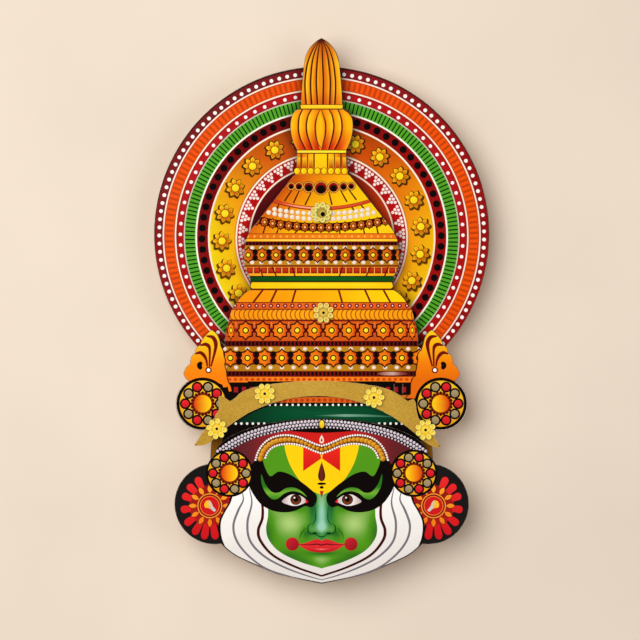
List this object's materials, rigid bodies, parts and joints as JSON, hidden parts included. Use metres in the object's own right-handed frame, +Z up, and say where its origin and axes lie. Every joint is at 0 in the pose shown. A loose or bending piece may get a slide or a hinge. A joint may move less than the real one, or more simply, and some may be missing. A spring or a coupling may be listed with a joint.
{
  "type": "wall plaque of a kathakali head",
  "caption": "Flat layered wall plaque of a dancer's head: round halo board, tall tiered crown, bearded face with ear discs, gold band and stamped flower caps.",
  "frame": {"origin": "middle of the halo board's back face, where it lies on the wall", "axes": "+Z up to the finial, +X to the viewer's right, +Y into the wall, so the printed faces look along -Y"},
  "size_m": [0.282, 0.0156, 0.458],
  "materials": {
    "halo_print": "fibreboard with a printed sheet under gloss laminate, white cut edge",
    "crown_print": "fibreboard with a printed sheet under gloss laminate, white cut edge",
    "face_print": "fibreboard with a printed sheet under gloss laminate, white cut edge",
    "gold_card": "satin gold foil with fine glitter, hand cut",
    "gold_cap": "thin stamped sheet, bright gold"
  },
  "bodies": {
    "root": {"halo_board": "halo_print", "crown_board": "crown_print", "face_board": "face_print", "gold_band": "gold_card", "flower_cap_dome": "gold_cap", "flower_cap_crown": "gold_cap", "flower_cap_band_left": "gold_cap", "flower_cap_band_right": "gold_cap", "flower_cap_tail_left": "gold_cap", "flower_cap_tail_right": "gold_cap"}
  },
  "joints": []
}
